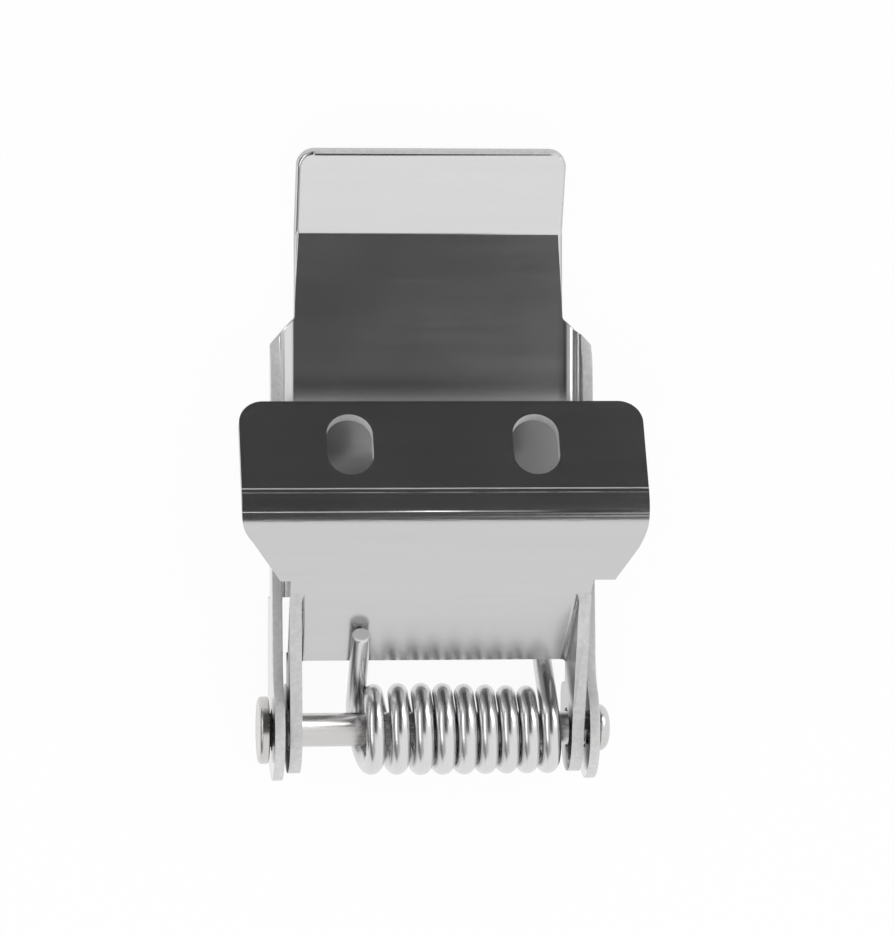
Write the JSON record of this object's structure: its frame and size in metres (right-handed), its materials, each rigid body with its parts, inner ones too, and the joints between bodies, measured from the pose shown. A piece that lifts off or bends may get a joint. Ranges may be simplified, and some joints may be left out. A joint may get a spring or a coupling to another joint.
{
  "type": "spring mounting clip",
  "caption": "Stamped steel clip: a slotted bracket and a clamp arm with a bent lip turn on one rivet, and a torsion spring closes the arm.",
  "frame": {"origin": "middle of the outline, on the surface that the clip lies on", "axes": "+X across the clip along the rivet, +Y up the clip from the rivet to the lip, +Z from the back of the arm towards the bracket's front"},
  "size_m": [0.0334, 0.0526, 0.0148],
  "materials": {
    "bracket_steel": "bright stamped sheet, faint rolling grain",
    "arm_steel": "bright stamped sheet, faint rolling grain",
    "rivet_steel": "plain turned steel, hammered dome",
    "spring_wire": "polished drawn wire"
  },
  "bodies": {
    "bracket": {"mounting_bracket": "bracket_steel", "pivot_rivet": "rivet_steel", "torsion_spring": "spring_wire"},
    "arm": {"clamp_arm": "arm_steel"}
  },
  "joints": [
    {"name": "arm_swing", "type": "hinge", "parent": "bracket", "child": "arm", "pos_m": [0, -0.02209, 0.0042], "axis": [-1, 0, 0], "range_deg": [-11, 75], "stiffness_Nm_per_rad": 0.38, "deforming": ["torsion_spring"]}
  ]
}
